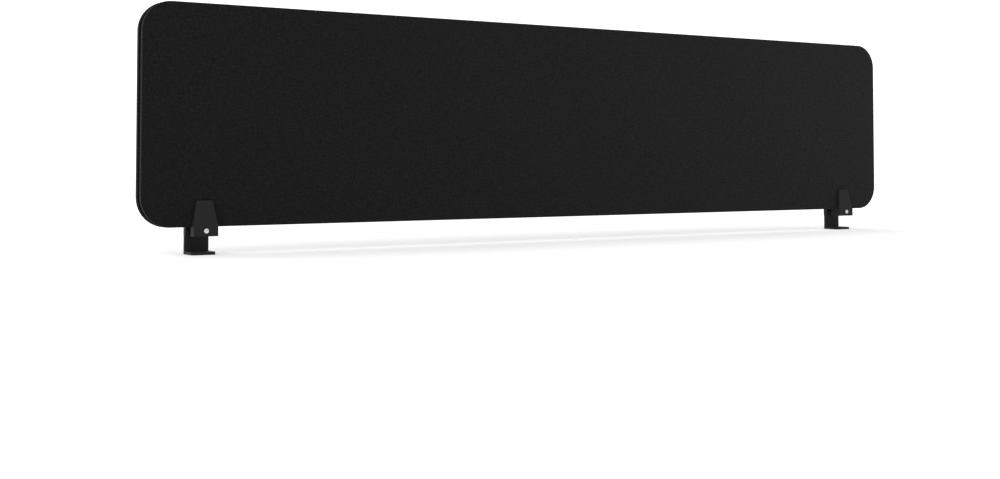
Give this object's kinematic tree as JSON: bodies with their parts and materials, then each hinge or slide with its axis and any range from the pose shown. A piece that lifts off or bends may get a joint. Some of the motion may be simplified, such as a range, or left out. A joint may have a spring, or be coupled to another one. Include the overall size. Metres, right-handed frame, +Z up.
{
  "type": "desk privacy panel",
  "caption": "Long fabric-covered screen with round corners and a zip round its edge, held over the rear edge of a desk top by clamp brackets with a hooked foot.",
  "frame": {"origin": "under the middle of the panel's length and thickness, on the plane of the undersides of the feet; the screws and nuts make the whole box's middle lie 1.4 mm behind it", "axes": "+X along the panel to the sitter's right, -Y towards the sitter, +Z up"},
  "size_m": [1.4, 0.0472, 0.338],
  "materials": {
    "cover_fabric": "fine black upholstery weave, matt",
    "core_wood": "raw softwood, planed",
    "dowel_wood": "raw beech",
    "absorber_felt": "pressed polyester fibre",
    "wadding_felt": "thin needled felt",
    "zip_tape": "black woven tape",
    "zip_coil": "black nylon coil",
    "zip_metal": "black enamel",
    "bracket_coat": "satin black powder coat",
    "grip_rubber": "matt black rubber",
    "bright_zinc": "bright zinc plate"
  },
  "bodies": {
    "panel": {"absorber_boards": "absorber_felt", "core_bottom_rail": "core_wood", "core_dowels": "dowel_wood", "core_left_stile": "core_wood", "core_mullions": "core_wood", "core_right_stile": "core_wood", "core_top_rail": "core_wood", "front_cover": "cover_fabric", "front_wadding": "wadding_felt", "front_zip_coil": "zip_coil", "front_zip_tape": "zip_tape", "left_clamp_nut": "bright_zinc", "left_rear_jaw": "bracket_coat", "left_rear_pad": "grip_rubber", "rear_cover": "cover_fabric", "rear_wadding": "wadding_felt", "rear_zip_coil": "zip_coil", "rear_zip_tape": "zip_tape", "right_clamp_nut": "bright_zinc", "right_rear_jaw": "bracket_coat", "right_rear_pad": "grip_rubber", "zip_stops": "zip_metal"},
    "zip_slider": {"zip_slider": "zip_metal"},
    "left_front_jaw": {"left_front_jaw": "bracket_coat", "left_front_pad": "grip_rubber"},
    "left_clamp_screw": {"left_clamp_screw": "bright_zinc"},
    "left_desk_plate": {"left_desk_plate": "bracket_coat"},
    "right_front_jaw": {"right_front_jaw": "bracket_coat", "right_front_pad": "grip_rubber"},
    "right_clamp_screw": {"right_clamp_screw": "bright_zinc"},
    "right_desk_plate": {"right_desk_plate": "bracket_coat"}
  },
  "joints": [
    {"name": "zip_slider_travel", "type": "slide", "parent": "panel", "child": "zip_slider", "axis": [1, 0, 0], "range_m": [0, 1.08]},
    {"name": "left_jaw_opening", "type": "slide", "parent": "panel", "child": "left_front_jaw", "axis": [0, -1, 0], "range_m": [0, 0.003]},
    {"name": "left_screw_turn", "type": "hinge", "parent": "left_front_jaw", "child": "left_clamp_screw", "pos_m": [-0.614, -0.02, 0.0323], "axis": [0, -1, 0], "range_deg": [0, 1543.9]},
    {"name": "left_hook_height", "type": "slide", "parent": "panel", "child": "left_desk_plate", "axis": [0, 0, -1], "range_m": [0, 0.008]},
    {"name": "right_jaw_opening", "type": "slide", "parent": "panel", "child": "right_front_jaw", "axis": [0, -1, 0], "range_m": [0, 0.003]},
    {"name": "right_screw_turn", "type": "hinge", "parent": "right_front_jaw", "child": "right_clamp_screw", "pos_m": [0.614, -0.02, 0.0323], "axis": [0, -1, 0], "range_deg": [0, 1543.9]},
    {"name": "right_hook_height", "type": "slide", "parent": "panel", "child": "right_desk_plate", "axis": [0, 0, -1], "range_m": [0, 0.008]}
  ],
  "couplings": [
    {"joint": "left_screw_turn", "follows": "left_jaw_opening", "rad_per_m": 8976},
    {"joint": "right_screw_turn", "follows": "right_jaw_opening", "rad_per_m": 8976}
  ]
}
